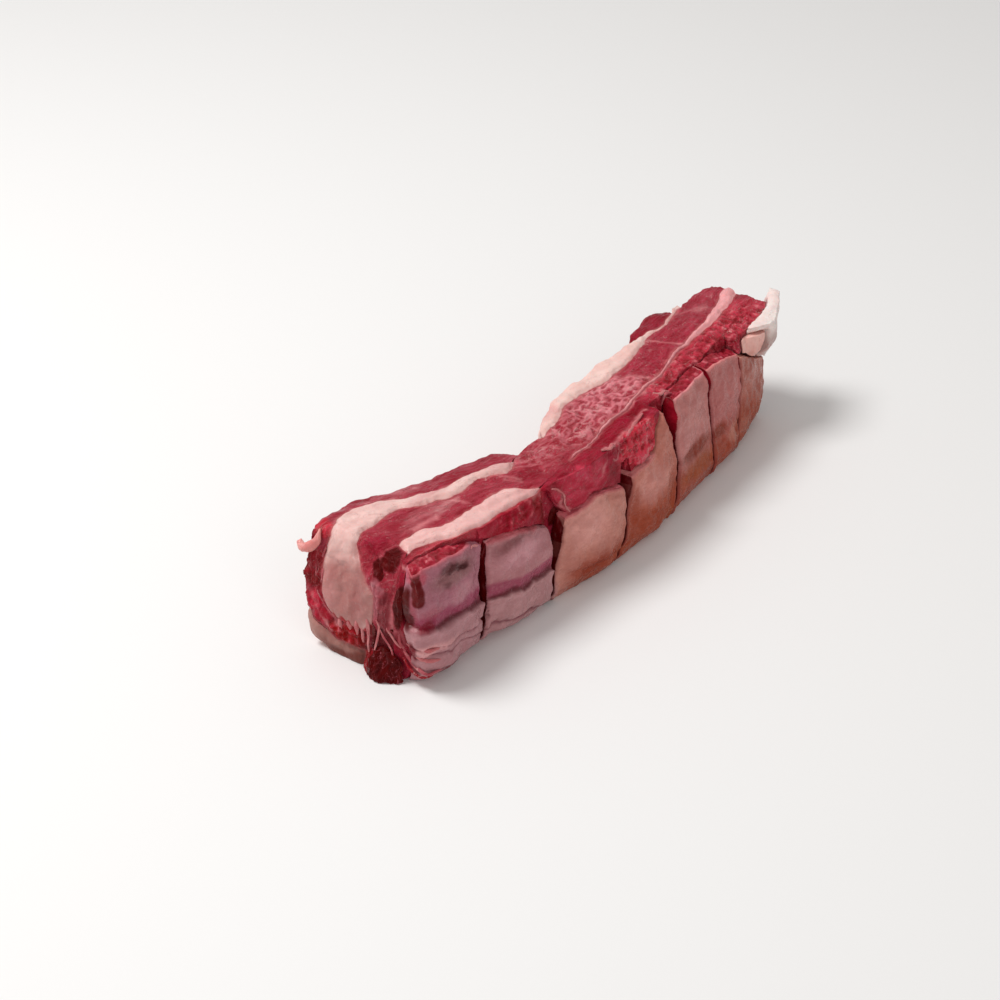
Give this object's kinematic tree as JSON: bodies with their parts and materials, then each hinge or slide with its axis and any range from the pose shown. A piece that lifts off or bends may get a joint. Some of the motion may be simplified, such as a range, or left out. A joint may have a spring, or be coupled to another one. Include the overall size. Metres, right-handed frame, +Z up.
{
  "type": "beef rib strip",
  "caption": "Strip of raw beef ribs sawn across the bones, with layers of meat and fat along it and a skin-covered side cut into rib sections.",
  "frame": {"origin": "middle of the underside of the strip's bounding box, where it rests", "axes": "+X along the strip from its front cut end to its back one, +Y from the rib side to the outer side, +Z up"},
  "size_m": [0.3708, 0.1, 0.0705],
  "materials": {
    "meat": "moist, marbled red meat",
    "outer_meat": "moist, pinker red meat",
    "dark_meat": "wet, dark red meat",
    "fat": "waxy, pink-white fat",
    "rib_skin": "glossy, mauve-grey skin over meat"
  },
  "bodies": {
    "root": {"outer_muscle": "outer_meat", "lower_edge_fat": "fat", "outer_fat_front": "fat", "outer_fat_back": "fat", "middle_muscle": "meat", "inner_fat_front": "fat", "inner_fat_back": "fat", "inner_muscle": "meat", "rib_section_1": "rib_skin", "rib_section_2": "rib_skin", "rib_section_3": "rib_skin", "rib_section_4": "rib_skin", "rib_section_5": "rib_skin", "rib_section_6": "rib_skin", "rib_section_7": "rib_skin", "back_fat_lower": "fat", "back_fat_upper": "fat", "front_flap": "dark_meat", "front_fat_curl": "fat"}
  },
  "joints": []
}
